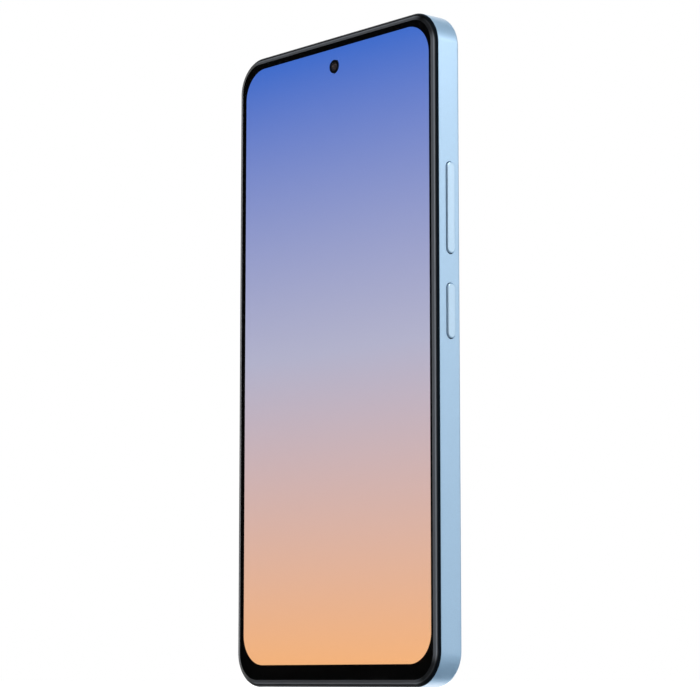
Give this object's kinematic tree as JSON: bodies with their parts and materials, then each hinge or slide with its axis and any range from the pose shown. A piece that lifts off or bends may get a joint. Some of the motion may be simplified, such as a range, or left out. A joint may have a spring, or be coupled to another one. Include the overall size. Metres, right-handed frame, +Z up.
{
  "type": "smartphone",
  "caption": "Slim touchscreen phone with a punch-hole display, painted side frame, volume and power keys, card tray, ports and a raised rear camera plate.",
  "frame": {"origin": "middle of the charging port's mouth, level with the bottom edge of the side frame", "axes": "+Z up along the screen's long side, -Y out of the screen, +Y out of the rear cover, +X towards the power and volume keys"},
  "size_m": [0.0754, 0.0095, 0.1611],
  "materials": {
    "frame_paint": "satin",
    "key_paint": "satin",
    "cover_glass": "gloss",
    "display": "gloss",
    "rim_black": "satin",
    "rear_cover": "gloss",
    "island_paint": "gloss",
    "ring_metal": "polished",
    "camera_glass": "gloss",
    "lens_glass": "gloss",
    "flash_plastic": "gloss",
    "camera_black": "matte",
    "plate_metal": "satin",
    "steel": "satin",
    "tray_metal": "satin",
    "rubber_black": "matte",
    "inner_plastic": "matte",
    "board": "satin",
    "flex_film": "satin",
    "battery_foil": "satin",
    "tape": "matte",
    "magnet": "satin",
    "coil_copper": "satin",
    "mesh_black": "matte",
    "infrared_black": "gloss"
  },
  "bodies": {
    "phone": {"antenna_cable": "inner_plastic", "battery": "battery_foil", "battery_tape": "tape", "board_connectors": "inner_plastic", "bracket_screws": "steel", "camera_island": "island_paint", "camera_rings": "ring_metal", "camera_windows": "camera_glass", "close_camera": "camera_black", "cover_glass": "cover_glass", "display_flex": "flex_film", "display_panel": "display", "earpiece": "inner_plastic", "earpiece_mesh": "mesh_black", "eject_pivot": "steel", "flash_led": "flash_plastic", "flash_lens": "flash_plastic", "front_bezel": "rim_black", "front_camera": "camera_black", "front_camera_lens": "lens_glass", "headphone_jack": "inner_plastic", "infrared_window": "infrared_black", "lower_board": "board", "lower_bracket": "inner_plastic", "main_board": "board", "main_camera_housing": "camera_black", "main_flex": "flex_film", "microphones": "inner_plastic", "mid_plate": "plate_metal", "motor_boot": "rubber_black", "motor_case": "steel", "port_shell": "steel", "port_tongue": "inner_plastic", "power_dome": "steel", "rear_cover": "rear_cover", "rear_cover_tape": "tape", "shield_cans": "steel", "side_frame": "frame_paint", "side_key_carrier": "steel", "side_key_flex": "flex_film", "sim_reader": "steel", "speaker_box": "inner_plastic", "speaker_lid": "inner_plastic", "speaker_magnet": "magnet", "speaker_mesh": "mesh_black", "speaker_surround": "rubber_black", "upper_bracket": "inner_plastic", "volume_domes": "steel", "wide_camera": "camera_black"},
    "power_key_body": {"power_key": "key_paint"},
    "volume_key_body": {"volume_key": "key_paint"},
    "card_drawer": {"sim_tray": "tray_metal", "sim_tray_seal": "rubber_black"},
    "eject_rod_body": {"eject_rod": "steel"},
    "eject_lever_body": {"eject_lever": "steel"},
    "focus_barrel": {"main_camera_barrel": "camera_black", "main_camera_lens": "lens_glass"},
    "motor_rotor": {"motor_shaft": "steel", "motor_weight": "steel"},
    "speaker_cone": {"speaker_diaphragm": "coil_copper"}
  },
  "joints": [
    {"name": "power_press", "type": "slide", "parent": "phone", "child": "power_key_body", "axis": [-1, 0, 0], "range_m": [0, 0.00025], "stiffness_N_per_m": 3000, "deforming": ["power_dome"]},
    {"name": "volume_rock", "type": "hinge", "parent": "phone", "child": "volume_key_body", "pos_m": [0.03562, 0, 0.11285], "axis": [0, 1, 0], "range_deg": [-1.2, 1.2], "stiffness_Nm_per_rad": 0.3, "deforming": ["volume_domes"]},
    {"name": "card_drawer_slide", "type": "slide", "parent": "phone", "child": "card_drawer", "axis": [-1, 0, 0], "range_m": [0, 0.022]},
    {"name": "eject_press", "type": "slide", "parent": "phone", "child": "eject_rod_body", "axis": [1, 0, 0], "range_m": [0, 0.0018]},
    {"name": "eject_lever_turn", "type": "hinge", "parent": "phone", "child": "eject_lever_body", "pos_m": [-0.01227, 0, 0.1286], "axis": [0, -1, 0], "range_deg": [0, 20.7]},
    {"name": "focus_slide", "type": "slide", "parent": "phone", "child": "focus_barrel", "axis": [0, 1, 0], "range_m": [0, 0.0003], "stiffness_N_per_m": 50},
    {"name": "motor_spin", "type": "hinge", "parent": "phone", "child": "motor_rotor", "pos_m": [-0.0207, -0.00039, 0.011], "axis": [1, 0, 0], "continuous": true},
    {"name": "cone_travel", "type": "slide", "parent": "phone", "child": "speaker_cone", "axis": [0, 1, 0], "range_m": [-0.0003, 0.0003], "stiffness_N_per_m": 500, "deforming": ["speaker_surround"]}
  ],
  "couplings": [
    {"joint": "eject_lever_turn", "follows": "eject_press", "rad_per_m": 200}
  ]
}
